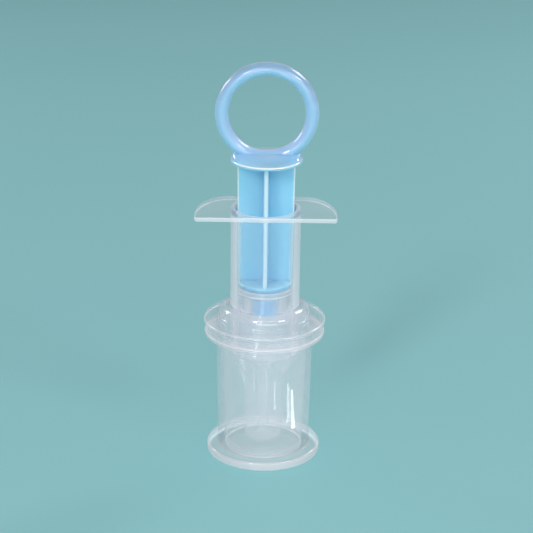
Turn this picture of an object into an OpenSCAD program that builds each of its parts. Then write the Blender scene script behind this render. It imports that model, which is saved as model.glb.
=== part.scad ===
// Oral syringe with a pull ring, a soft feeding teat and a cover that is also its stand.
// Millimetres. The origin is the centre of the cover's underside, +Z is up,
// and +X runs along the finger flange.

/* [Cover] */
// Height of the cover from the table to its top flange
cover_h = 43; // [43:0.5:46]
// Diameter of the top flange
cover_flange_d = 38.8; // [37:0.2:42]
// Thickness of the top flange
cover_flange_t = 1.6; // [1.2:0.1:2.4]
// Diameter of the base flange
base_d = 37; // [34:0.5:44]
// Thickness of the base flange
base_t = 3.2; // [2.4:0.1:4.4]
// Outside diameter of the cup just under its top flange
cup_top_d = 31.1; // [30.6:0.1:33]
// Outside diameter of the cup just above its base flange
cup_bottom_d = 29.8; // [29:0.1:30.6]
// Diameter of the mouth that holds the teat's plug
cover_mouth_d = 27.5; // [27:0.1:28]
// Inside diameter of the cup at its floor
cup_floor_d = 25.3; // [24:0.1:27]
// Thickness of the floor
cup_floor_t = 1.8; // [1.2:0.1:2.8]

/* [Teat] */
// Diameter of the round shield that stops at the lips
shield_d = 39.2; // [37:0.2:42]
// Thickness of the shield
shield_t = 1.4; // [1:0.1:2]
// Diameter of the collar that stands on the cover
collar_d = 30.4; // [29:0.2:34]
// Height of the collar between the cover and the shield
collar_h = 2.5; // [2:0.1:4]
// Diameter of the dome above the shield
dome_d = 28.8; // [28:0.1:32]
// Height of the dome above the shield
dome_h = 4.9; // [4.5:0.1:8]
// Radius of the dome's round shoulder
dome_shoulder_r = 3.2; // [2:0.1:3.2]
// Diameter of the narrow end of the funnel
funnel_end_d = 15.2; // [14:0.1:17]
// Diameter of the teat where it leaves the funnel
teat_top_d = 12.8; // [12:0.1:14]
// Diameter of the teat near its tip
teat_tip_d = 12; // [11:0.1:12.8]
// Gap between the teat's tip and the table
teat_tip_z = 4.4; // [3.5:0.1:6]
// Diameter of the channel down the teat
teat_bore_d = 3.6; // [2.5:0.1:4.5]
// Diameter of the hole at the tip
teat_hole_d = 1.8; // [1:0.1:2.2]

/* [Barrel] */
// Outside diameter of the barrel
barrel_d = 22.26; // [22:0.02:22.6]
// Inside diameter of the barrel
bore_d = 19.2; // [19:0.1:19.6]
// Thickness of the barrel's floor
barrel_floor_t = 1.4; // [1:0.1:2]
// Height of the top of the finger flange above the table
barrel_top_z = 83.9; // [80:0.1:86]
// Length of the finger flange
wing_l = 44.6; // [40:0.2:50]
// Width of the finger flange
wing_w = 22.3; // [22:0.1:24]
// Thickness of the finger flange
wing_t = 1.5; // [1.2:0.1:2.4]
// Outside diameter of the outlet nozzle
nozzle_d = 6.8; // [6:0.1:7.6]
// Length of the outlet nozzle
nozzle_l = 4.4; // [3:0.1:4.6]
// Diameter of the hole through the nozzle
nozzle_bore_d = 3; // [2:0.1:3.6]

/* [Plunger] */
// Height of the lower face of the end disc above the table, as drawn
piston_z = 58; // [56:0.5:68]
// Length of the cross-shaped stem from the end disc's lower face to the thumb plate
stem_l = 41.05; // [38:0.05:50]
// Width of the stem under the thumb plate
stem_top_w = 18.3; // [17:0.1:18.4]
// Width of the stem at the end disc
stem_end_w = 17.2; // [16:0.1:17.6]
// Thickness of each rib
rib_t = 1.5; // [1:0.1:2.5]
// Diameter of the end disc
end_disc_d = 17.8; // [17.6:0.1:18.4]
// Thickness of the end disc
end_disc_t = 1.4; // [1:0.1:2]

/* [Seal] */
// Length of the seal
seal_l = 12; // [9.6:0.1:13]
// Diameter of the seal's waist
seal_waist_d = 14.4; // [13:0.1:16]
// Height of each sealing lip
seal_lip_h = 1.9; // [1.4:0.1:2.4]
// Diameter of the stem's head that the seal holds
head_d = 8.8; // [8:0.1:9.6]
// Diameter of the neck above the head
neck_d = 6.4; // [5:0.1:7]

/* [Thumb ring] */
// Outside width of the thumb ring
ring_od = 32.5; // [30:0.1:36]
// Thickness of the ring seen from the front
ring_t = 4.3; // [3.4:0.1:5]
// Depth of the ring from front to back
ring_depth = 5.4; // [5:0.1:6.5]
// Diameter of the thumb plate
plate_d = 23; // [20:0.1:24]
// Thickness of the plate at its rim
plate_rim_t = 1.2; // [1:0.1:1.6]
// Thickness of the plate under the ring
plate_t = 2.75; // [2.4:0.05:3.2]

/* [Fits] */
// Radial clearance of every fit that slides or turns
fit = 0.05; // [0.02:0.01:0.08]

/* [Hidden] */
$fn = 96;

// Steps in a rounded edge's quarter circle
edge_steps = 6;
// Radius of the rounded rims on flanges and discs
rim_r = 0.6;

// Cover
base_rim_r = 0.9;
mouth_depth = 7;

// Teat, from the table up
collar_z = cover_h;
shield_z = collar_z + collar_h;
dome_z = shield_z + shield_t;
dome_top_z = dome_z + dome_h;
foot_bead_r = 0.6;
plug_d = cover_mouth_d - 2 * fit;
plug_end_z = cover_h - 5.6;
funnel_end_z = plug_end_z - 9.4;
knee_r = 1;
teat_top_z = funnel_end_z - 2;
teat_edge_r = 2.2;
socket_d = barrel_d + 2 * fit;
socket_z = cover_h - 7.6;
socket_lead = 0.3;
recess_d = nozzle_d + 2 * fit;
recess_z = socket_z - nozzle_l - 0.4;
bore_start_z = recess_z - 2.5;
hole_l = 1.6;

// Barrel
barrel_bottom_z = socket_z;
bore_floor_z = barrel_bottom_z + barrel_floor_t;
bore_lead = 0.4;
wing_z = barrel_top_z - wing_t;
wing_corner_x = 10.3;
wing_corner_y = 17;
wing_front_r = 1;
wing_steps = 16;

// Plunger and seal
plate_z = piston_z + stem_l;
seal_d = bore_d - 2 * fit;
seal_z = piston_z - seal_l;
seal_nose_h = 0.7;
neck_l = 2;
head_l = seal_l - 3.4;
head_edge_r = 0.8;
pocket_gap = 0.15;
core_d = 2.6;
spigot_d = 3.6;
spigot_l = 1.8;
socket_gap = 0.1;

// Thumb ring
ring_center_z = plate_z + 15.55;
ring_path_r = (ring_od - ring_t) / 2;
hump_w = 9;

// Points of an arc round [x, y], anticlockwise where the second angle is larger.
function arc(x, y, r, from, to, steps = edge_steps) =
    [for (i = [0:steps]) let (a = from + (to - from) * i / steps) [x + r * cos(a), y + r * sin(a)]];

// A quarter of an ellipse round [x, y], from the +Y end to the +X end.
function ellipse_quarter(x, y, rx, ry, steps) =
    [for (i = [0:steps]) let (a = 90 - 90 * i / steps) [x + rx * cos(a), y + ry * sin(a)]];

// The same points on the other side of the Y axis, in the opposite order.
function mirrored(points) =
    [for (i = [len(points) - 1:-1:0]) [-points[i][0], points[i][1]]];

// A round disc with a rounded rim, standing on z.
module rim_disc(d, t, z, r = rim_r) {
    rotate_extrude()
        polygon(concat(
            [[0, z]],
            arc(d / 2 - r, z + r, r, -90, 0),
            arc(d / 2 - r, z + t - r, r, 0, 90),
            [[0, z + t]]
        ));
}

// Cup with a flange at each end. It protects the teat, and the syringe stands on it.
module cover() {
    color([0.83, 0.91, 0.94, 0.45])
        difference() {
            union() {
                rim_disc(base_d, base_t, 0, base_rim_r);
                rim_disc(cover_flange_d, cover_flange_t, cover_h - cover_flange_t);
                translate([0, 0, base_t / 2])
                    cylinder(
                        h = cover_h - (base_t + cover_flange_t) / 2,
                        d1 = cup_bottom_d,
                        d2 = cup_top_d
                    );
            }
            translate([0, 0, cup_floor_t])
                cylinder(
                    h = cover_h - mouth_depth - cup_floor_t,
                    d1 = cup_floor_d,
                    d2 = cover_mouth_d
                );
            translate([0, 0, cover_h - mouth_depth])
                cylinder(h = mouth_depth + 1, d = cover_mouth_d);
        }
}

// Outline of the soft piece: tip, teat, funnel, plug, collar, shield and dome.
module teat_outline() {
    polygon(concat(
        [[0, teat_tip_z]],
        arc(teat_tip_d / 2 - teat_edge_r, teat_tip_z + teat_edge_r, teat_edge_r, -90, 0),
        [[teat_top_d / 2, teat_top_z]],
        arc(funnel_end_d / 2 - knee_r, funnel_end_z, knee_r, -60, 30),
        [[plug_d / 2, plug_end_z]],
        [[plug_d / 2, collar_z]],
        [[collar_d / 2, collar_z]],
        [[collar_d / 2, shield_z]],
        arc(shield_d / 2 - rim_r, shield_z + rim_r, rim_r, -90, 0),
        arc(shield_d / 2 - rim_r, dome_z - rim_r, rim_r, 0, 90),
        arc(dome_d / 2 - 0.1, dome_z + foot_bead_r, foot_bead_r, -90, 90),
        arc(
            dome_d / 2 - dome_shoulder_r,
            dome_top_z - dome_shoulder_r,
            dome_shoulder_r,
            0,
            90,
            2 * edge_steps
        ),
        [[0, dome_top_z]]
    ));
}

// Soft piece: a sleeve over the barrel, a round shield, and a teat with a channel through it.
module teat() {
    color([0.9, 0.94, 0.96, 0.5])
        difference() {
            rotate_extrude()
                teat_outline();
            translate([0, 0, socket_z])
                cylinder(h = dome_top_z - socket_z + 1, d = socket_d);
            translate([0, 0, dome_top_z - socket_lead])
                cylinder(
                    h = 2 * socket_lead,
                    d1 = socket_d,
                    d2 = socket_d + 4 * socket_lead
                );
            translate([0, 0, recess_z])
                cylinder(h = socket_z - recess_z + 1, d = recess_d);
            translate([0, 0, bore_start_z])
                cylinder(h = recess_z - bore_start_z, d1 = teat_bore_d, d2 = recess_d);
            translate([0, 0, teat_tip_z + hole_l])
                cylinder(h = bore_start_z - teat_tip_z - hole_l, d = teat_bore_d);
            translate([0, 0, teat_tip_z - 1])
                cylinder(h = hole_l + 2, d = teat_hole_d);
        }
}

// Finger flange: a straight front edge, and a back that rounds off at both ends.
module wing_outline() {
    right_end = concat(
        ellipse_quarter(
            wing_l / 2 - wing_corner_x,
            wing_w / 2 - wing_corner_y,
            wing_corner_x,
            wing_corner_y,
            wing_steps
        ),
        arc(wing_l / 2 - wing_front_r, wing_front_r - wing_w / 2, wing_front_r, 0, -90)
    );
    polygon(concat(right_end, mirrored(right_end)));
}

// Frosted tube with the finger flange, a floor and an outlet nozzle.
module barrel() {
    color([0.86, 0.92, 0.95, 0.6])
        difference() {
            union() {
                translate([0, 0, barrel_bottom_z])
                    cylinder(h = barrel_top_z - barrel_bottom_z, d = barrel_d);
                translate([0, 0, barrel_bottom_z - nozzle_l])
                    cylinder(h = nozzle_l + 1, d = nozzle_d);
                translate([0, 0, wing_z])
                    linear_extrude(wing_t)
                        wing_outline();
            }
            translate([0, 0, bore_floor_z])
                cylinder(h = barrel_top_z - bore_floor_z + 1, d = bore_d);
            translate([0, 0, barrel_top_z - bore_lead])
                cylinder(h = 2 * bore_lead, d1 = bore_d, d2 = bore_d + 4 * bore_lead);
            translate([0, 0, barrel_bottom_z - nozzle_l - 1])
                cylinder(h = nozzle_l + barrel_floor_t + 2, d = nozzle_bore_d);
        }
}

// Soft piston: two lips that wipe the bore, with a pocket that holds the stem's head.
module piston_seal() {
    lip = seal_lip_h / 2;
    color([0.92, 0.95, 0.97, 0.6])
        difference() {
            rotate_extrude()
                polygon(concat(
                    [[0, seal_z]],
                    [[seal_d / 2 - 2 * lip, seal_z + seal_nose_h / 2]],
                    arc(seal_d / 2 - lip, seal_z + seal_nose_h + lip, lip, -90, 90),
                    [[seal_waist_d / 2, seal_z + seal_nose_h + 2.6 * lip]],
                    [[seal_waist_d / 2, piston_z - 2.6 * lip]],
                    arc(seal_d / 2 - lip, piston_z - lip, lip, -90, 90),
                    [[0, piston_z]]
                ));
            translate([0, 0, piston_z - neck_l - head_l - pocket_gap])
                cylinder(h = head_l + 2 * pocket_gap, d = head_d + 2 * fit);
            translate([0, 0, piston_z - neck_l - 1])
                cylinder(h = neck_l + 2, d = neck_d + 2 * fit);
        }
}

// One upright rib of the stem, narrowing towards the end disc.
module rib() {
    rotate([90, 0, 0])
        translate([0, 0, -rib_t / 2])
            linear_extrude(rib_t)
                polygon([
                    [-stem_end_w / 2, piston_z + end_disc_t / 2],
                    [stem_end_w / 2, piston_z + end_disc_t / 2],
                    [stem_top_w / 2, plate_z],
                    [-stem_top_w / 2, plate_z]
                ]);
}

// Cross-shaped stem with an end disc, a neck and a head, and a spigot for the thumb ring.
module plunger_stem() {
    color([0.42, 0.73, 0.9])
        union() {
            rib();
            rotate([0, 0, 90])
                rib();
            translate([0, 0, piston_z + end_disc_t / 2])
                cylinder(h = stem_l - end_disc_t / 2, d = core_d);
            rim_disc(end_disc_d, end_disc_t, piston_z, end_disc_t * 0.3);
            translate([0, 0, piston_z - neck_l - 0.5])
                cylinder(h = neck_l + 1, d = neck_d);
            rim_disc(head_d, head_l, piston_z - neck_l - head_l, head_edge_r);
            translate([0, 0, plate_z - 1])
                cylinder(h = spigot_l + 1, d = spigot_d);
        }
}

// Pull ring standing on a round thumb plate.
module thumb_ring() {
    slope_w = plate_d / 2 - rim_r / 2;
    color([0.62, 0.78, 0.95])
        difference() {
            union() {
                intersection() {
                    rim_disc(plate_d, 2 * plate_t, plate_z, rim_r);
                    rotate([90, 0, 90])
                        translate([0, 0, -plate_d])
                            linear_extrude(2 * plate_d)
                                polygon([
                                    [-plate_d, plate_z],
                                    [plate_d, plate_z],
                                    [slope_w, plate_z + plate_rim_t],
                                    [hump_w / 2, plate_z + plate_t],
                                    [-hump_w / 2, plate_z + plate_t],
                                    [-slope_w, plate_z + plate_rim_t]
                                ]);
                }
                intersection() {
                    translate([0, 0, ring_center_z])
                        rotate([90, 0, 0])
                            rotate_extrude()
                                translate([ring_path_r, 0])
                                    ring_section();
                    translate([-ring_od, -ring_od, plate_z])
                        cube([2 * ring_od, 2 * ring_od, 2 * ring_od]);
                }
            }
            translate([0, 0, plate_z - 1])
                cylinder(h = spigot_l + socket_gap + 1, d = spigot_d);
        }
}

// Oval section of the ring: deeper than it is thick.
module ring_section() {
    flat = (ring_depth - ring_t) / 2;
    translate([0, flat])
        circle(d = ring_t);
    translate([0, -flat])
        circle(d = ring_t);
    square([ring_t, 2 * flat], center = true);
}

cover();
teat();
barrel();
piston_seal();
plunger_stem();
thumb_ring();
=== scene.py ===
"""Looks for the oral syringe: every CAD node is replaced by a finer moulding in the same place."""

import math

import bmesh
import bpy
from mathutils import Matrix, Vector


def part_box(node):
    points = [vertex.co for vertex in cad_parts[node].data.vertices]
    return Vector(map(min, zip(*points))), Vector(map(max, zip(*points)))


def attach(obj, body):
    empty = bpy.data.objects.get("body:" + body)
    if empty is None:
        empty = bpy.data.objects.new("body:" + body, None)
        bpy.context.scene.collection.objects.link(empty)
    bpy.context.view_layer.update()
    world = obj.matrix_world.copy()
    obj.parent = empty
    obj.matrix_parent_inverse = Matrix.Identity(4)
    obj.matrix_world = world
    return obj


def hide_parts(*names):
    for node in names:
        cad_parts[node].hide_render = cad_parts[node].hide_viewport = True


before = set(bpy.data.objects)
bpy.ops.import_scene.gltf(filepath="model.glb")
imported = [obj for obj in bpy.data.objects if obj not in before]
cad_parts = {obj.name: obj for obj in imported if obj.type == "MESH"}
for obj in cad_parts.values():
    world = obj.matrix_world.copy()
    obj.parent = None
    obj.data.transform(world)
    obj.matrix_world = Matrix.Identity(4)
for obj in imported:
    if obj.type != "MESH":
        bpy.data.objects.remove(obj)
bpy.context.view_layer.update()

MM = 0.001
ROUND = 192          # segments round a turned piece
SOFT = 0.05          # mm over which a mask's edge fades, to each side


# ---------------------------------------------------------------- sizes from the frame, in mm

def node_box(node):
    """Lowest and highest corners of a CAD node, in millimetres."""
    low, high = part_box(node)
    return low / MM, high / MM


COVER_LOW, COVER_HIGH = node_box("cover")
TEAT_LOW, TEAT_HIGH = node_box("teat")
BARREL_LOW, BARREL_HIGH = node_box("barrel")
SEAL_LOW, SEAL_HIGH = node_box("piston_seal")
STEM_LOW, STEM_HIGH = node_box("plunger_stem")
RING_LOW, RING_HIGH = node_box("thumb_ring")

# Sizes that pieces share with each other or with their materials.
BASE_R = 18.5                        # cover: base flange
BASE_TOP = 3.2
COVER_FLANGE = 1.6                   # cover: thickness of the top flange
COVER_WALL_R = 15.53                 # cover: outside of the cup, under the top flange
SHIELD_LOW = COVER_HIGH.z + 2.5      # teat: round shield
SHIELD_TOP = SHIELD_LOW + 1.4
DOME_R = 14.4
NOZZLE = 4.4                         # barrel: length of the nozzle under the tube
WING = 1.5                           # barrel: thickness of the finger flange
BORE_R = 9.6
MOUTH_R = 10.2
TOP_LIP = 1.9                        # seal: height of the top lip
STEM_HALF = 8.6                      # stem: half the width at the foot
DISC_TOP = SEAL_HIGH.z + 1.4         # stem: end disc


# ---------------------------------------------------------------- profiles

def rounded(corners, steps=6):
    """Turns (x, y, fillet) corners into a closed outline, with an arc at each corner."""
    outline = []
    count = len(corners)
    for i, (x, y, radius) in enumerate(corners):
        here = Vector((x, y))
        if radius <= 0:
            outline.append(here)
            continue
        back = (Vector(corners[i - 1][:2]) - here).normalized()
        ahead = (Vector(corners[(i + 1) % count][:2]) - here).normalized()
        half = back.angle(ahead) / 2
        if half > math.radians(89):
            outline.append(here)
            continue
        centre = here + (back + ahead).normalized() * radius / math.sin(half)
        start = here + back * radius / math.tan(half) - centre
        sweep = (math.pi - 2 * half) * (1 if back.cross(ahead) < 0 else -1)
        for k in range(steps + 1):
            turn = sweep * k / steps
            outline.append(centre + Vector((
                start.x * math.cos(turn) - start.y * math.sin(turn),
                start.x * math.sin(turn) + start.y * math.cos(turn),
            )))
    return outline


# ---------------------------------------------------------------- mesh builders

def new_object(name, mesh):
    piece = bpy.data.objects.new(name, mesh)
    bpy.context.scene.collection.objects.link(piece)
    return piece


def from_bmesh(name, bm):
    bmesh.ops.remove_doubles(bm, verts=bm.verts, dist=1e-7)
    bmesh.ops.recalc_face_normals(bm, faces=bm.faces)
    mesh = bpy.data.meshes.new(name)
    bm.to_mesh(mesh)
    bm.free()
    return new_object(name, mesh)


def turned(name, outline, segments=ROUND):
    """A closed (radius, z) outline turned round the Z axis. Points on the axis become poles."""
    bm = bmesh.new()
    rings = []
    for point in outline:
        if point.x < 1e-6:
            rings.append([bm.verts.new((0, 0, point.y * MM))])
            continue
        rings.append([
            bm.verts.new((
                point.x * MM * math.cos(2 * math.pi * k / segments),
                point.x * MM * math.sin(2 * math.pi * k / segments),
                point.y * MM,
            ))
            for k in range(segments)
        ])
    for i, ring in enumerate(rings):
        following = rings[(i + 1) % len(rings)]
        if len(ring) == 1 and len(following) == 1:
            continue
        for k in range(segments):
            n = (k + 1) % segments
            if len(ring) == 1:
                bm.faces.new((ring[0], following[n], following[k]))
            elif len(following) == 1:
                bm.faces.new((ring[k], ring[n], following[0]))
            else:
                bm.faces.new((ring[k], ring[n], following[n], following[k]))
    return from_bmesh(name, bm)


def lofted(name, sections):
    """Skins rings of points that have the same number of points, and caps both ends."""
    bm = bmesh.new()
    rings = [[bm.verts.new(Vector(p) * MM) for p in section] for section in sections]
    count = len(rings[0])
    for low, high in zip(rings, rings[1:]):
        for k in range(count):
            n = (k + 1) % count
            bm.faces.new((low[k], low[n], high[n], high[k]))
    bm.faces.new(rings[0][::-1])
    bm.faces.new(rings[-1])
    return from_bmesh(name, bm)


def inset(outline, distance):
    """Moves a closed outline inwards along its own normals."""
    count = len(outline)
    moved = []
    for i, point in enumerate(outline):
        along = (outline[(i + 1) % count] - outline[i - 1]).normalized()
        moved.append(point + Vector((-along.y, along.x)) * distance)
    return moved


def plate_sections(outline, low, high, edge, steps=4):
    """Rings of a flat plate with rounded edges, from its lower face to its upper face."""
    sections = []
    for k in range(steps + 1):
        turn = math.pi / 2 * k / steps
        level = inset(outline, edge * (1 - math.sin(turn)))
        sections.append([(p.x, p.y, low + edge * (1 - math.cos(turn))) for p in level])
    for k in range(steps + 1):
        turn = math.pi / 2 * (1 - k / steps)
        level = inset(outline, edge * (1 - math.sin(turn)))
        sections.append([(p.x, p.y, high - edge * (1 - math.cos(turn))) for p in level])
    return sections


def apply_modifiers(piece):
    bpy.context.view_layer.update()
    evaluated = piece.evaluated_get(bpy.context.evaluated_depsgraph_get())
    mesh = bpy.data.meshes.new_from_object(evaluated)
    piece.modifiers.clear()
    old = piece.data
    piece.data = mesh
    bpy.data.meshes.remove(old)


def combine(piece, others, operation):
    """Adds or cuts the other pieces, and removes them."""
    for other in others:
        tool = piece.modifiers.new("combine", "BOOLEAN")
        tool.operation = operation
        tool.solver = "EXACT"
        tool.object = other
        apply_modifiers(piece)
        bpy.data.objects.remove(other)
    return piece


def smooth(piece, angle=35, weighted=True):
    """Shades smooth, except at edges sharper than the angle."""
    piece.data.polygons.foreach_set("use_smooth", [True] * len(piece.data.polygons))
    piece.data.set_sharp_from_angle(angle=math.radians(angle))
    if weighted:
        normals = piece.modifiers.new("face weighted normals", "WEIGHTED_NORMAL")
        normals.keep_sharp = True
    return piece


# ---------------------------------------------------------------- pieces

def make_cover():
    """Cup with a flange at each end, standing on the floor."""
    flange_r = COVER_HIGH.x
    top = COVER_HIGH.z
    mouth_r = 13.75
    floor = 1.8
    cup = rounded([
        (0, 0, 0),
        (BASE_R, 0, 0.9),
        (BASE_R, BASE_TOP, 0.9),
        (14.93, BASE_TOP, 0.5),
        (COVER_WALL_R, top - COVER_FLANGE, 0.4),
        (flange_r, top - COVER_FLANGE, 0.6),
        (flange_r, top, 0.6),
        (mouth_r, top, 0.35),
        (mouth_r, top - 7, 0),
        (12.65, floor, 0.9),
        (0, floor, 0),
    ])
    return smooth(turned("cover_shell", cup))


def make_teat():
    """Sleeve, dome, shield, collar, plug, funnel and teat, hollow from the socket to the tip."""
    tip = TEAT_LOW.z
    top = TEAT_HIGH.z
    shield_r = TEAT_HIGH.x
    plug_r, collar_r = 13.7, 15.2
    socket_r = 11.18
    socket_z = BARREL_LOW.z + NOZZLE
    recess_r = 3.45
    recess_z = BARREL_LOW.z - 0.4
    channel_r, hole_r = 1.8, 0.9
    body = rounded([
        (hole_r, tip, 0.25),
        (6.0, tip, 2.1),
        (6.4, 26, 0.8),
        (7.55, 27.4, 0.6),
        (7.7, 28.2, 0.5),
        (plug_r, 37.4, 1.0),
        (plug_r, SHIELD_LOW - 2.5, 0),
        (collar_r, SHIELD_LOW - 2.5, 0.3),
        (collar_r, SHIELD_LOW, 0.35),
        (shield_r, SHIELD_LOW, 0.65),
        (shield_r, SHIELD_TOP, 0.65),
        (14.95, SHIELD_TOP, 0.25),
        (14.95, SHIELD_TOP + 1.25, 0.6),
        (DOME_R, SHIELD_TOP + 1.3, 0.15),
        (DOME_R, top, 3.1),
        (socket_r, top, 0.3),
        (socket_r, socket_z, 0.3),
        (recess_r, socket_z, 0.2),
        (recess_r, recess_z, 0),
        (channel_r, recess_z - 2.5, 0),
        (channel_r, tip + 1.6, 0.3),
        (hole_r, tip + 1.6, 0.2),
    ], steps=8)
    return smooth(turned("teat_silicone", body))


def wing_outline():
    """Finger flange: a straight front edge, and a back that rounds off at both ends."""
    half_l = BARREL_HIGH.x
    half_w = BARREL_HIGH.y
    corner_x, corner_y = 10.3, 17
    front_r = 1.0
    front_steps, back_steps = 8, 24
    right = []
    for k in range(front_steps + 1):
        turn = -math.pi / 2 * (1 - k / front_steps)
        right.append(Vector((
            half_l - front_r + front_r * math.cos(turn),
            -half_w + front_r + front_r * math.sin(turn),
        )))
    for k in range(back_steps + 1):
        turn = math.pi / 2 * k / back_steps
        right.append(Vector((
            half_l - corner_x + corner_x * math.cos(turn),
            half_w - corner_y + corner_y * math.sin(turn),
        )))
    left = [Vector((-p.x, p.y)) for p in reversed(right)]
    return right + left


def make_barrel():
    """Frosted tube with its finger flange, floor and nozzle."""
    top = BARREL_HIGH.z
    low = BARREL_LOW.z
    bottom = low + NOZZLE
    floor = bottom + 1.4
    wing_low = top - WING
    tube_end = wing_low + 0.9
    tube_r, nozzle_r, outlet_r = 11.13, 3.4, 1.5
    tube = turned("tube", rounded([
        (0, low, 0),
        (nozzle_r, low, 0.3),
        (nozzle_r, bottom, 0.3),
        (tube_r, bottom, 0.5),
        (tube_r, tube_end, 0),
        (0, tube_end, 0),
    ]))
    bore = turned("bore", rounded([
        (0, floor, 0),
        (BORE_R, floor, 0.5),
        (BORE_R, top - 0.5, 0.5),
        (MOUTH_R, top + 0.3, 0),
        (MOUTH_R, top + 3, 0),
        (0, top + 3, 0),
    ]))
    outlet = turned("outlet", [
        Vector((0, low - 1)),
        Vector((outlet_r, low - 1)),
        Vector((outlet_r, bottom + 3)),
        Vector((0, bottom + 3)),
    ], segments=64)
    barrel = lofted("barrel_frosted", plate_sections(wing_outline(), wing_low, top, 0.4))
    combine(barrel, [tube], "UNION")
    combine(barrel, [bore, outlet], "DIFFERENCE")
    return smooth(barrel)


def make_seal():
    """Two-lipped soft piston with a pocket for the stem's head."""
    low, top = SEAL_LOW.z, SEAL_HIGH.z
    lip_r = SEAL_HIGH.x
    waist_r, neck_r, pocket_r = 7.2, 3.25, 4.45
    pocket_low, pocket_top = STEM_LOW.z - 0.15, top - 1.85
    seal = rounded([
        (0, low, 0),
        (7.6, low + 0.35, 0.5),
        (lip_r, low + 0.6, 0.5),
        (lip_r, low + 2.6, 0.5),
        (waist_r, low + 3.6, 0.6),
        (waist_r, top - TOP_LIP - 1, 0.6),
        (lip_r, top - TOP_LIP, 0.5),
        (lip_r, top, 0.5),
        (neck_r, top, 0.2),
        (neck_r, pocket_top, 0.1),
        (pocket_r, pocket_top, 0.1),
        (pocket_r, pocket_low, 0.5),
        (0, pocket_low, 0),
    ])
    return smooth(turned("seal_silicone", seal))


def cross_section(half, rib, z):
    """One level of the cross-shaped stem, with rounded rib edges and filleted inner corners."""
    t = rib / 2
    tip, inner = 0.35, 0.5
    cross = [(half, -t, tip), (half, t, tip), (t, t, inner)]
    cross += [(t, half, tip), (-t, half, tip), (-t, t, inner)]
    cross += [(-half, t, tip), (-half, -t, tip), (-t, -t, inner)]
    cross += [(-t, -half, tip), (t, -half, tip), (t, -t, inner)]
    return [(p.x, p.y, z) for p in rounded(cross, steps=5)]


def make_stem():
    """Cross-shaped stem with the end disc, neck and head."""
    seal_top = SEAL_HIGH.z
    cross_low, cross_top = seal_top + 0.7, RING_LOW.z + 0.3
    rib = 1.5
    steps = 8
    sections = []
    for k in range(steps + 1):
        share = k / steps
        half = STEM_HALF + (STEM_HIGH.x - STEM_HALF) * share
        z = cross_low + (cross_top - cross_low) * share
        sections.append(cross_section(half, rib, z))
    stem = lofted("stem_cross", sections)
    head_r, neck_r, disc_r = 4.4, 3.2, 8.9
    foot = turned("foot", rounded([
        (0, STEM_LOW.z, 0),
        (head_r, STEM_LOW.z, 0.8),
        (head_r, seal_top - 2, 0.4),
        (neck_r, seal_top - 2, 0.2),
        (neck_r, seal_top, 0.2),
        (disc_r, seal_top, 0.45),
        (disc_r, DISC_TOP, 0.45),
        (2.2, DISC_TOP, 0.6),
        (1.3, DISC_TOP + 1.2, 0),
        (0, DISC_TOP + 1.2, 0),
    ]))
    combine(stem, [foot], "UNION")
    return smooth(stem)


def ring_mesh(centre_z, path_r, thick, deep, segments=ROUND, sides=40):
    """Pull ring: an oval section swept round a circle in the XZ plane."""
    bm = bmesh.new()
    rings = []
    for k in range(segments):
        turn = 2 * math.pi * k / segments
        ring = []
        for s in range(sides):
            side = 2 * math.pi * s / sides
            radius = path_r + thick / 2 * math.cos(side)
            ring.append(bm.verts.new((
                radius * math.cos(turn) * MM,
                deep / 2 * math.sin(side) * MM,
                (centre_z + radius * math.sin(turn)) * MM,
            )))
        rings.append(ring)
    for k in range(segments):
        following = rings[(k + 1) % segments]
        for s in range(sides):
            n = (s + 1) % sides
            bm.faces.new((rings[k][s], rings[k][n], following[n], following[s]))
    return from_bmesh("ring", bm)


def make_thumb_ring():
    """Pull ring blended into the oval hump of its round thumb plate."""
    plate_z = RING_LOW.z
    plate_r = RING_HIGH.y
    ring_od = RING_HIGH.x * 2
    thick, deep = 4.3, 5.4
    centre_z = RING_HIGH.z - ring_od / 2
    ring = ring_mesh(centre_z, (ring_od - thick) / 2, thick, deep)
    rim, edge = 1.25, 0.65
    steps = 6
    levels = []          # half width, half depth and height of each level of the plate and its hump
    for k in range(-steps, steps + 1):
        turn = math.pi / 2 * k / steps
        back = edge * (1 - math.cos(turn))
        levels.append((plate_r - back, plate_r - back, rim / 2 + (rim / 2) * math.sin(turn)))
    levels += [
        (plate_r - 0.7, plate_r - 2.0, rim + 0.12),
        (plate_r - 0.7, plate_r - 4.0, rim + 0.5),
        (plate_r - 0.75, plate_r - 5.6, rim + 1.0),
        (plate_r - 0.9, plate_r - 6.6, rim + 1.35),
        (plate_r - 1.4, plate_r - 7.6, rim + 1.5),
    ]
    sections = [
        [
            (
                rx * math.cos(2 * math.pi * k / ROUND),
                ry * math.sin(2 * math.pi * k / ROUND),
                plate_z + dz,
            )
            for k in range(ROUND)
        ]
        for rx, ry, dz in levels
    ]
    plate = lofted("thumb_ring_handle", sections)
    below = turned("below", [
        Vector((0, plate_z - 6)),
        Vector((30, plate_z - 6)),
        Vector((30, plate_z)),
        Vector((0, plate_z)),
    ], segments=48)
    combine(ring, [below], "DIFFERENCE")
    combine(plate, [ring], "UNION")
    remesh = plate.modifiers.new("one skin", "REMESH")
    remesh.mode = "VOXEL"
    remesh.voxel_size = 0.17 * MM
    remesh.use_smooth_shade = True
    soften = plate.modifiers.new("soft joints", "SMOOTH")
    soften.factor = 0.5
    soften.iterations = 4
    apply_modifiers(plate)
    return smooth(plate, angle=180, weighted=False)


# ---------------------------------------------------------------- materials

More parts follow.
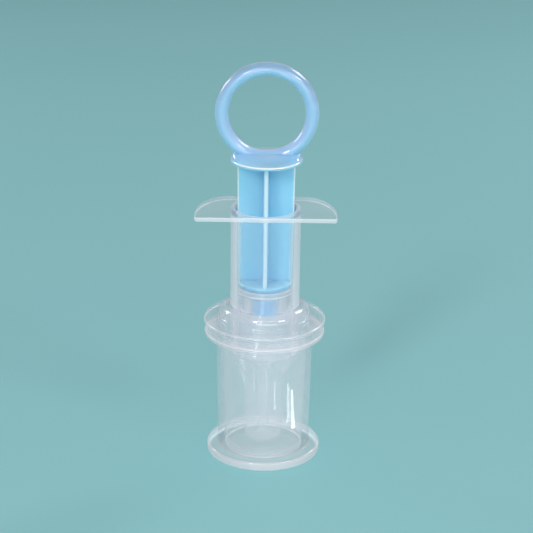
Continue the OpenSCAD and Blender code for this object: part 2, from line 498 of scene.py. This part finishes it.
class Nodes:
    """Short calls for building one material's nodes."""

    def __init__(self, name):
        self.material = bpy.data.materials.new(name)
        self.material.use_nodes = True
        self.tree = self.material.node_tree
        self.tree.nodes.clear()
        self.output = self.add("ShaderNodeOutputMaterial")

    def add(self, kind, **settings):
        node = self.tree.nodes.new(kind)
        for key, value in settings.items():
            setattr(node, key, value)
        return node

    def link(self, source, target):
        self.tree.links.new(source, target)

    def place(self):
        return self.add("ShaderNodeTexCoord").outputs["Object"]

    def noise(self, scale, detail):
        """Noise in object space; scale is in features per metre."""
        noise = self.add("ShaderNodeTexNoise")
        noise.inputs["Scale"].default_value = scale
        noise.inputs["Detail"].default_value = detail
        self.link(self.place(), noise.inputs["Vector"])
        return noise.outputs["Fac"]

    def ramp(self, value, low, high, span=(0.0, 1.0)):
        """Maps value from span to low..high."""
        node = self.add("ShaderNodeMapRange")
        node.inputs["From Min"].default_value = span[0]
        node.inputs["From Max"].default_value = span[1]
        node.inputs["To Min"].default_value = low
        node.inputs["To Max"].default_value = high
        self.link(value, node.inputs["Value"])
        return node.outputs["Result"]

    def along(self, axis):
        """Position along the X, Y or Z axis."""
        split = self.add("ShaderNodeSeparateXYZ")
        self.link(self.place(), split.inputs[0])
        return split.outputs[axis]

    def height(self):
        return self.along("Z")

    def radius(self):
        """Distance from the Z axis."""
        flat = self.add("ShaderNodeVectorMath", operation="MULTIPLY")
        flat.inputs[1].default_value = (1, 1, 0)
        self.link(self.place(), flat.inputs[0])
        length = self.add("ShaderNodeVectorMath", operation="LENGTH")
        self.link(flat.outputs[0], length.inputs[0])
        return length.outputs["Value"]

    def up(self):
        """1 on faces that look up, 0 on upright faces, -1 on faces that look down."""
        split = self.add("ShaderNodeSeparateXYZ")
        self.link(self.add("ShaderNodeTexCoord").outputs["Normal"], split.inputs[0])
        return split.outputs["Z"]

    def level(self):
        """1 on faces that look up or down, 0 on upright faces."""
        return self.math("ABSOLUTE", self.up())

    def rise(self, value, start, end):
        """0 below start millimetres, 1 above end."""
        return self.ramp(value, 0, 1, (start * MM, end * MM))

    def fall(self, value, start, end):
        """1 below start millimetres, 0 above end."""
        return self.ramp(value, 1, 0, (start * MM, end * MM))

    def above(self, value, limit):
        return self.rise(value, limit - SOFT, limit + SOFT)

    def below(self, value, limit):
        return self.fall(value, limit - SOFT, limit + SOFT)

    def flats(self):
        """1 on flat faces that look up or down."""
        return self.ramp(self.level(), 0, 1, (0.9, 1.0))

    def fillets(self):
        """1 on the rounded edges between flat and upright faces."""
        level = self.level()
        steep = self.ramp(level, 1, 0, (0.8, 0.95))
        return self.overlap(self.ramp(level, 0, 1, (0.15, 0.4)), steep)

    def overlap(self, *masks):
        """1 only where every mask is 1."""
        product = masks[0]
        for mask in masks[1:]:
            product = self.math("MULTIPLY", product, mask)
        return product

    def math(self, operation, a, b=0):
        """A Math node; a and b are numbers or outputs."""
        node = self.add("ShaderNodeMath", operation=operation)
        for value, socket in zip((a, b), node.inputs):
            if isinstance(value, (int, float)):
                socket.default_value = value
            else:
                self.link(value, socket)
        return node.outputs[0]

    def between(self, share, low, high):
        """low where share is 0, high where it is 1; low and high are numbers or outputs."""
        node = self.add("ShaderNodeMapRange")
        self.link(share, node.inputs["Value"])
        for value, name in ((low, "To Min"), (high, "To Max")):
            if isinstance(value, (int, float)):
                node.inputs[name].default_value = value
            else:
                self.link(value, node.inputs[name])
        return node.outputs["Result"]

    def blend(self, amount, first, second):
        """A mix of two shaders: amount 0 is the first."""
        node = self.add("ShaderNodeMixShader")
        self.link(amount, node.inputs[0])
        self.link(first.outputs[0], node.inputs[1])
        self.link(second.outputs[0], node.inputs[2])
        return node

    def mixed(self, share, low, high):
        """A colour: low where share is 0, high where it is 1; each is a colour or an output."""
        node = self.add("ShaderNodeMix", data_type="RGBA")
        self.link(share, node.inputs[0])
        for color, socket in ((low, node.inputs[6]), (high, node.inputs[7])):
            if isinstance(color, tuple):
                socket.default_value = (*color, 1)
            else:
                self.link(color, socket)
        return node.outputs[2]

    def bump(self, value, strength, distance):
        node = self.add("ShaderNodeBump")
        node.inputs["Strength"].default_value = strength
        node.inputs["Distance"].default_value = distance
        self.link(value, node.inputs["Height"])
        return node.outputs["Normal"]

    def plastic(self, **sockets):
        node = self.add("ShaderNodeBsdfPrincipled")
        for key, value in sockets.items():
            node.inputs[key.replace("_", " ")].default_value = value
        return node

    def finish(self, shader, shadow_tint=None):
        """Connects the shader. With a shadow tint, light passes through to what is behind."""
        if shadow_tint is None:
            self.link(shader.outputs[0], self.output.inputs["Surface"])
            return self.material
        rays = self.add("ShaderNodeLightPath")
        through = self.add("ShaderNodeBsdfTransparent")
        through.inputs["Color"].default_value = (*shadow_tint, 1)
        mix = self.blend(rays.outputs["Is Shadow Ray"], shader, through)
        self.link(mix.outputs["Shader"], self.output.inputs["Surface"])
        return self.material


def filmed(m, body, veil, grazing, outline, marks,
           gloss=0.1, mirror_share=0.05, power=2, full=0.5):
    """A thin moulded wall: a milky film of the body over what is behind it, under a clear gloss.
    veil, grazing and outline say how much of the film is seen head on, aslant and edge on. It has
    grown from veil to grazing where facing, raised to power, reaches full. marks are (mask, veil,
    grazing) triples that set other values where the mask is 1, and the last one wins."""
    weight = m.add("ShaderNodeLayerWeight")
    weight.inputs["Blend"].default_value = 0.5
    facing = weight.outputs["Facing"]
    slant = m.ramp(m.math("POWER", facing, power), 0, 1, (0, full))
    amount = m.between(slant, veil, grazing)
    for mask, low, high in marks:
        amount = m.between(mask, amount, m.between(slant, low, high))
    amount = m.between(m.ramp(facing, 0, 1, (0.68, 0.95)), amount, outline)
    surface = m.blend(amount, m.add("ShaderNodeBsdfTransparent"), body)
    mirror = m.add("ShaderNodeBsdfGlossy")
    m.link(m.ramp(m.noise(600, 3), gloss * 0.7, gloss * 1.5), mirror.inputs["Roughness"])
    shine = m.ramp(m.math("POWER", facing, 5), mirror_share, 0.2)
    return m.finish(m.blend(shine, surface, mirror), (0.98, 0.985, 0.99))


def milk(m, roughness=0.4, tinted=None, tint=None):
    """The pale, slightly cloudy body of a clear moulding. It has the tint where tinted is 1."""
    body = m.plastic(Roughness=roughness)
    color = m.mixed(m.noise(90, 4), (0.7, 0.735, 0.8), (0.75, 0.78, 0.84))
    if tinted:
        color = m.mixed(tinted, color, tint)
    m.link(color, body.inputs["Base Color"])
    return body


def clear_plastic():
    """Cover: clear, glossy, faintly milky polypropylene, whiter at flanges and edges, with painted
    teal floor light on the base's flat faces and a painted highlight round the floor.
    """
    m = Nodes("clear_polypropylene")
    radius, height = m.radius(), m.height()
    outside = m.above(radius, COVER_WALL_R + 0.17)
    edges = m.overlap(m.fillets(), outside)
    flange = m.overlap(outside, m.above(height, COVER_HIGH.z - COVER_FLANGE - 0.1))
    rims = m.above(radius, BASE_R - 0.15)
    rim = m.between(m.above(height, 20), 0.85, 0.4)
    base = m.below(height, BASE_TOP + 0.1)
    bottom = m.overlap(base, m.flats())
    floor_r = 12.4
    inside = m.overlap(base, m.below(radius, floor_r))
    foot = m.overlap(m.fall(height, 3.5, 7.5), m.above(radius, floor_r))
    # corner carries a painted highlight: the line round the cup's floor, made whiter in front than
    # at the back.
    corner = m.overlap(m.fillets(), m.below(height, 2.6), m.above(radius, floor_r - 0.8))
    front = m.ramp(m.along("Y"), 1, 0.4, (-4 * MM, 4 * MM))
    marks = [
        (foot, 0.33, 0.4),          # low in the wall
        (base, 0.32, 0.4),
        (inside, 0.12, 0.2),        # the cup's floor
        (corner, front, front),     # painted highlight: the line round the floor, whiter in front
        (flange, 0.25, 0.3),
        (rims, rim, rim),           # whiter on the base than on the top flange
        (edges, 0.6, 0.6),
    ]
    # Painted floor light: the flat faces of the base are tinted teal, standing in for light thrown
    # up from the floor.
    tint = m.mixed(bottom, (0.71, 0.7, 0.755), (0.6, 0.82, 0.88))
    # Painted highlight: the line round the floor is tinted near white.
    tint = m.mixed(corner, tint, (0.97, 0.97, 1.0))
    tinted = m.math("MAXIMUM", m.math("MAXIMUM", bottom, corner), 0.8)
    body = milk(m, tinted=tinted, tint=tint)
    return filmed(m, body, 0.16, 0.28, 0.27, marks, gloss=0.04)


def silicone():
    """Teat: glossy clear silicone, milkier in the dome and the shield, whiter at its edges, with
    painted shade that darkens the inside of the shield and the dome.
    """
    m = Nodes("clear_silicone")
    radius, height = m.radius(), m.height()
    head = m.above(height, COVER_HIGH.z)
    dome = m.overlap(m.above(height, SHIELD_TOP + 1.4), m.above(radius, 12.5))
    # Painted shade: inside the shield and the dome the milk is tinted a darker grey-blue, leaving
    # the shield's outer rim paler; the dome's outside takes half of it.
    inner = m.overlap(head, m.fall(radius, 17.2, 18.2), m.between(dome, 1, 0.5))
    body = milk(m, 0.3, tinted=inner, tint=(0.52, 0.59, 0.67))
    m.link(m.bump(m.noise(300, 2), 0.03, 0.0001), body.inputs["Normal"])
    edges = m.overlap(m.fillets(), m.above(radius, 18.5))
    collar = m.overlap(head, m.fillets(), m.above(radius, 13.9), m.fall(radius, 15.1, 15.3))
    flat = m.flats()
    marks = [
        (head, m.between(flat, 0.18, 0.1), m.between(flat, 0.42, 0.14)),
        (collar, 0.3, 0.4),
        (edges, 0.4, 0.6),
    ]
    outline = m.between(m.overlap(head, m.above(radius, 13.2)), 0.25, 1.0)
    return filmed(m, body, 0.12, 0.25, outline, marks, gloss=0.03, mirror_share=0.07)


def frosted_plastic():
    """Barrel: frosted polypropylene, clearer on the finger flange and whiter at its edges, with a
    painted highlight that makes the flange's rim whiter in front.
    """
    m = Nodes("frosted_polypropylene")
    body = milk(m)
    m.link(m.bump(m.noise(700, 2), 0.03, 0.0001), body.inputs["Normal"])
    radius = m.radius()
    bore = m.below(radius, MOUTH_R)
    wing = m.above(m.height(), BARREL_HIGH.z - WING - 0.05)
    # Painted highlight: the flange's rim is made whiter in front than at the back, over the milk it
    # has all round.
    rim = m.ramp(m.along("Y"), 0.65, 0.35, (-6 * MM, 0))
    plate = m.between(m.ramp(m.level(), 0, 1, (0.3, 0.8)), rim, 0.1)
    mouth = m.overlap(wing, m.below(radius, MOUTH_R + 0.9))
    lip = m.overlap(wing, m.below(radius, MOUTH_R + 0.3))
    marks = [
        (bore, 0.04, 0.25),
        (wing, plate, plate),       # clear faces, and a milky rim with a painted highlight that is stronger in front
        (m.overlap(wing, m.fillets()), 0.7, 0.7),
        (mouth, 0.35, 0.4),
        (lip, 0.5, 0.55),
    ]
    return filmed(m, body, 0.04, 0.82, 0.8, marks, gloss=0.3, power=6, full=0.012)


def milky_silicone():
    """Seal: milky translucent silicone, whiter at its top lip, with a painted highlight band at the
    lip's lower edge.
    """
    m = Nodes("milky_silicone")
    body = milk(m, 0.25)
    m.link(m.bump(m.noise(1200, 2), 0.05, 0.0001), body.inputs["Normal"])
    radius, height = m.radius(), m.height()
    outer = m.above(radius, 8)
    lip = m.above(height, SEAL_HIGH.z - TOP_LIP - 0.1)
    # Painted highlight: a band at the lower edge of the top lip is drawn fully white.
    rim = m.between(m.above(height, SEAL_HIGH.z - 1.4), m.overlap(lip, outer), 0)
    pocket = m.below(radius, 6)
    marks = [
        (lip, 0.45, 0.5),
        (m.overlap(m.fillets(), outer), 0.6, 0.6),
        (rim, 1, 1),
        (pocket, 0.04, 0.2),
    ]
    return filmed(m, body, 0.15, 0.62, 0.6, marks, gloss=0.08, full=0.12)


def blue_plastic(name, low, high, coat):
    """Translucent blue polypropylene. Returns the builder, its shader and its cloudy colour."""
    m = Nodes(name)
    shader = m.plastic(
        Subsurface_Weight=0.8, Subsurface_Scale=0.006, Coat_Weight=1, Coat_IOR=1.6,
        Coat_Roughness=coat, Specular_IOR_Level=0.2, Sheen_Weight=0.25, Sheen_Roughness=0.35,
    )
    shader.inputs["Subsurface Radius"].default_value = (0.6, 0.9, 1.0)
    m.link(m.ramp(m.noise(800, 4), 0.3, 0.45), shader.inputs["Roughness"])
    m.link(m.bump(m.noise(500, 3), 0.04, 0.0002), shader.inputs["Normal"])
    return m, shader, m.mixed(m.noise(110, 4), low, high)


def stem_plastic():
    """Stem: clear sky blue, with a painted highlight along the ribs' outer edges, painted shade on
    the disc and painted light on its top face, deeper in the head.
    """
    m, shader, color = blue_plastic(
        "clear_blue_plastic", (0.265, 0.55, 0.81), (0.3, 0.585, 0.84), 0.1)
    height = m.height()
    # Painted highlight: the outer edges of the front, back and side ribs are coloured pale.
    sideways = m.math("ABSOLUTE", m.along("X"))
    middle = m.math("MAXIMUM", m.fall(sideways, 0.2, 0.75), m.above(sideways, STEM_HALF))
    edges = m.overlap(m.above(m.radius(), STEM_HALF - 0.2), m.above(height, DISC_TOP + 0.1), middle)
    color = m.mixed(edges, color, (0.58, 0.72, 0.86))
    # Painted shade: the disc, and the neck under it, are coloured a darker blue to dull their lit
    # side.
    disc = m.below(height, DISC_TOP - 0.2)
    color = m.mixed(disc, color, (0.22, 0.48, 0.75))
    # Painted light: the disc's top face is coloured paler, against the shade it sits in under the
    # seal.
    disc_top_light = m.overlap(m.below(height, DISC_TOP + 0.6), m.ramp(m.up(), 0, 1, (0.6, 0.9)))
    color = m.mixed(disc_top_light, color, (0.35, 0.66, 0.91))
    head = m.fall(height, STEM_LOW.z, STEM_LOW.z + 6)
    color = m.mixed(head, color, (0.16, 0.5, 0.82))
    m.link(color, shader.inputs["Base Color"])
    return m.finish(shader)


def ring_plastic():
    """Ring and thumb plate: milky periwinkle, with painted light that turns faces looking down
    cyan, painted shade on the ring's top and a painted highlight along the plate's edge.
    """
    m, shader, color = blue_plastic(
        "milky_blue_plastic", (0.33, 0.49, 0.72), (0.36, 0.51, 0.745), 0.02)
    height, up = m.height(), m.up()
    # Painted light: faces that look down are tinted cyan, standing in for light coming through the
    # plastic.
    under = m.ramp(up, 1, 0, (-0.6, 0.4))
    color = m.mixed(under, color, (0.3, 0.55, 0.73))
    # Painted shade: the upward-facing top of the ring is coloured darker, against the light that
    # falls on it from above.
    top_shade = m.overlap(m.ramp(up, 0, 1, (0, 0.7)), m.above(height, RING_HIGH.z - 12))
    color = m.mixed(top_shade, color, (0.23, 0.38, 0.54))
    plate = m.fall(height, RING_LOW.z + 2, RING_LOW.z + 5)
    color = m.mixed(plate, color, (0.27, 0.52, 0.77))
    # Painted highlight: a near-white line along the upper rounded edge of the plate, at its front
    # and back.
    edge = m.overlap(m.fillets(), m.above(m.radius(), RING_HIGH.y - 0.9), plate)
    upper = m.ramp(up, 0, 1, (0.1, 0.3))
    deep = m.rise(m.math("ABSOLUTE", m.along("Y")), 4, 8)
    color = m.mixed(m.overlap(edge, upper, deep), color, (0.85, 0.88, 0.92))
    m.link(color, shader.inputs["Base Color"])
    return m.finish(shader)


# ---------------------------------------------------------------- stage

def make_floor():
    """A plain floor that reaches past the camera's view."""
    bm = bmesh.new()
    bmesh.ops.create_grid(bm, x_segments=4, y_segments=4, size=12.0)
    floor = from_bmesh("floor", bm)
    m = Nodes("pale_floor")
    shader = m.plastic(Roughness=0.75)
    color = m.mixed(m.noise(6, 2), (0.205, 0.47, 0.5), (0.22, 0.485, 0.515))
    m.link(color, shader.inputs["Base Color"])
    floor.data.materials.append(m.finish(shader))


WARM = (1.0, 0.97, 0.94)
SOFTBOXES = [            # name, azimuth, elevation, distance, (width, height), power
    ("key", -25, 32, 0.9, (0.14, 0.17), 2.3),
    ("side", 48, 34, 1.0, (0.3, 0.14), 2.2),
    ("overhead", 0, 45, 1.0, (1.0, 0.04), 1.0),
    ("fill", 5, 8, 1.0, (1.0, 0.3), 2.5),
    ("thin_strip", -9, 30, 1.0, (0.02, 0.7), 0.35),
    ("rim_left", -121, 22, 1.0, (0.2, 0.3), 2.2),
    ("rim_right", 135, 35, 1.0, (0.3, 0.3), 2.6),
]
FLOOR_STRIPS = [         # name, azimuth, distance, (width, length), power, turn round Z
    ("floor_strip", -9, 0.17, (0.006, 0.16), 0.02, 9),
    ("floor_glow", 66, 0.05, (0.007, 0.03), 0.007, 66),
]


def area_light(name, azimuth, elevation, distance, size, power, target, color=(1, 1, 1)):
    """A softbox that faces target; azimuth 0 is in front, and it grows to the right."""
    data = bpy.data.lights.new(name, "AREA")
    data.shape = "RECTANGLE"
    data.size, data.size_y = size
    data.energy = power
    data.color = color
    light = bpy.data.objects.new(name, data)
    a, e = math.radians(azimuth), math.radians(elevation)
    away = Vector((math.sin(a) * math.cos(e), -math.cos(a) * math.cos(e), math.sin(e)))
    light.location = target + away * distance
    light.rotation_euler = away.to_track_quat("Z", "Y").to_euler()
    light.visible_camera = False
    bpy.context.scene.collection.objects.link(light)
    return light


def make_lights():
    """Softboxes round the syringe, and strips that lie on the floor and gleam in the cover."""
    middle = Vector((0, 0, (COVER_LOW.z + RING_HIGH.z) / 2 * MM))
    for box in SOFTBOXES:
        area_light(*box, middle, WARM)
    foot = Vector((0, 0, 1 * MM))
    for name, azimuth, distance, size, power, turn in FLOOR_STRIPS:
        strip = area_light(name, azimuth, 0, distance, size, power, foot)
        strip.rotation_euler = (math.pi, 0, math.radians(turn))
    world = bpy.data.worlds.new("soft_room")
    world.use_nodes = True
    background = world.node_tree.nodes["Background"]
    background.inputs["Color"].default_value = (0.97, 0.98, 1.0, 1)
    background.inputs["Strength"].default_value = 0.42
    bpy.context.scene.world = world


def make_camera():
    """The camera looks down a little on the syringe from in front, with a slight roll."""
    aside, distance, height = 0.41, 533.1, 261.5
    pitch, roll = math.radians(20.34), math.radians(0.74)
    data = bpy.data.cameras.new("camera")
    data.sensor_width = 36
    data.lens = 120.1
    data.clip_start = 0.01
    camera = bpy.data.objects.new("camera", data)
    camera.location = (aside * MM, -distance * MM, height * MM)
    camera.rotation_mode = "XYZ"
    camera.rotation_euler = (math.pi / 2 - pitch, 0, 0)
    bpy.context.view_layer.update()
    camera.rotation_euler.rotate_axis("Z", roll)
    bpy.context.scene.collection.objects.link(camera)
    bpy.context.scene.camera = camera


# ---------------------------------------------------------------- assembly

make_camera()
make_lights()
make_floor()

PIECES = [               # maker, node it replaces, body it rides, slot, material
    (make_cover, "cover", "cover", "cover_clear", clear_plastic()),
    (make_teat, "teat", "teat", "teat_silicone", silicone()),
    (make_barrel, "barrel", "barrel", "barrel_frosted", frosted_plastic()),
    (make_seal, "piston_seal", "piston", "seal_silicone", milky_silicone()),
    (make_stem, "plunger_stem", "plunger", "stem_blue", stem_plastic()),
    (make_thumb_ring, "thumb_ring", "plunger", "ring_blue", ring_plastic()),
]

for make, node, body, slot, material in PIECES:
    piece = make()
    piece.data.materials.clear()
    piece.data.materials.append(material)
    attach(piece, body)
    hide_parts(node)

bpy.context.scene.view_settings.view_transform = "Standard"
bpy.context.scene.cycles.transparent_max_bounces = 32
bpy.context.scene.cycles.max_bounces = 24
bpy.context.scene.cycles.transmission_bounces = 24
